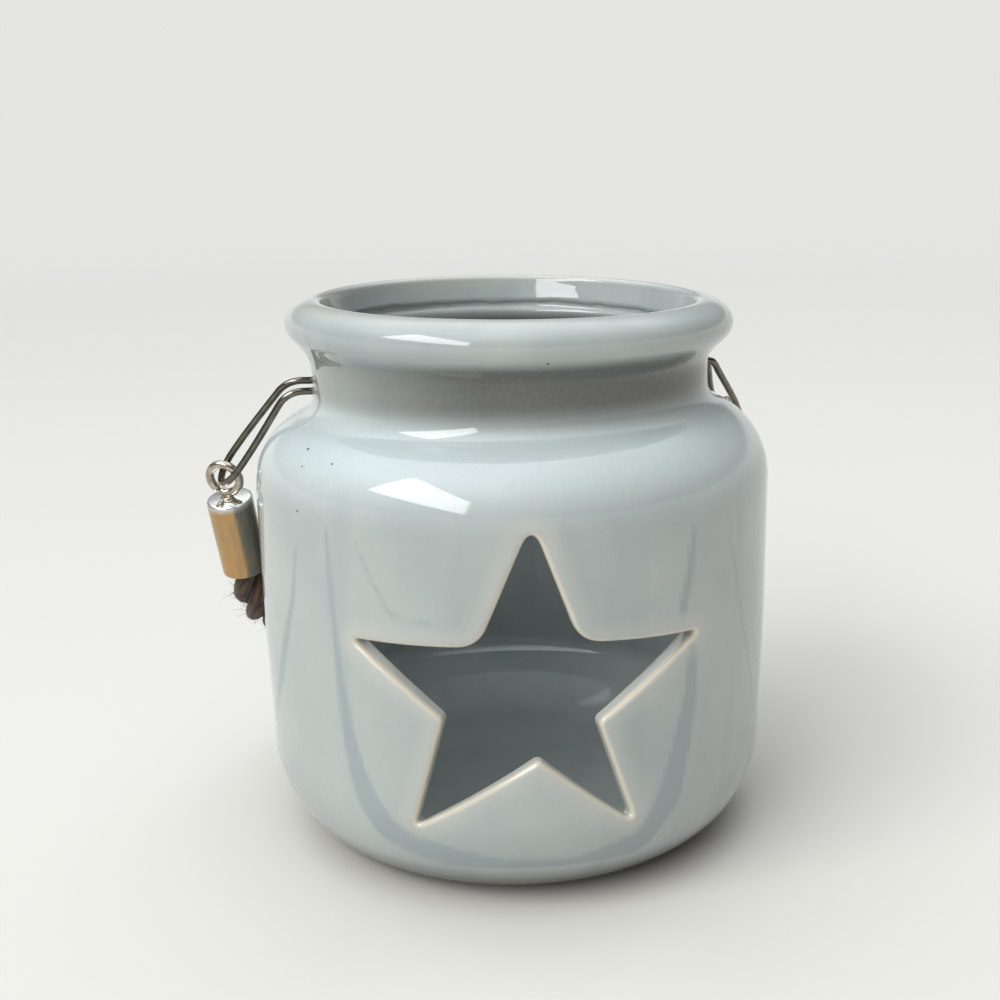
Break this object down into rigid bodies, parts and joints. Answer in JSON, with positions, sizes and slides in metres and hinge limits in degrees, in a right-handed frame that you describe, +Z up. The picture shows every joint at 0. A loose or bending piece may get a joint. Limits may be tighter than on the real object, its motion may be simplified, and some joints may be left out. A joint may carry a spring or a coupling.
{
  "type": "tea light holder",
  "caption": "Round glazed ceramic tea light holder with a rolled rim, a star-shaped window cut through the front and a rope carrying handle on chromed wire links.",
  "frame": {"origin": "centre of the jar's flat base", "axes": "+Z up along the jar's axis, -Y towards the star window, +X to the right as seen from the star"},
  "size_m": [0.1134, 0.1133, 0.1053],
  "materials": {
    "glaze": "glossy pale blue-grey glaze, thin and cream on the cut edges",
    "wire": "polished",
    "ring": "polished",
    "cap": "polished, lightly worn",
    "rope": "dark brown twisted rope, matte and fuzzy"
  },
  "bodies": {
    "jar": {"jar_body": "glaze"},
    "left_link": {"left_wire_link": "wire"},
    "right_link": {"right_wire_link": "wire"},
    "handle": {"left_eye_ring": "ring", "right_eye_ring": "ring", "left_end_cap": "cap", "right_end_cap": "cap", "rope_handle": "rope"}
  },
  "joints": [
    {"name": "left_link_swing", "type": "hinge", "parent": "jar", "child": "left_link", "pos_m": [0, 0.00379, 0.08886], "axis": [0.9942, 0.1045, 0.0237], "range_deg": [0, 235]},
    {"name": "right_link_swing", "type": "hinge", "parent": "jar", "child": "right_link", "pos_m": [0, 0.00379, 0.08886], "axis": [0.9942, 0.1045, 0.0237], "range_deg": [0, 235]},
    {"name": "handle_pivot", "type": "hinge", "parent": "left_link", "child": "handle", "pos_m": [-0.05719, 0.00464, 0.06898], "axis": [0.9792, 0.1952, 0.0547], "range_deg": [0, 12]}
  ],
  "couplings": [
    {"joint": "right_link_swing", "follows": "left_link_swing", "ratio": 1}
  ]
}
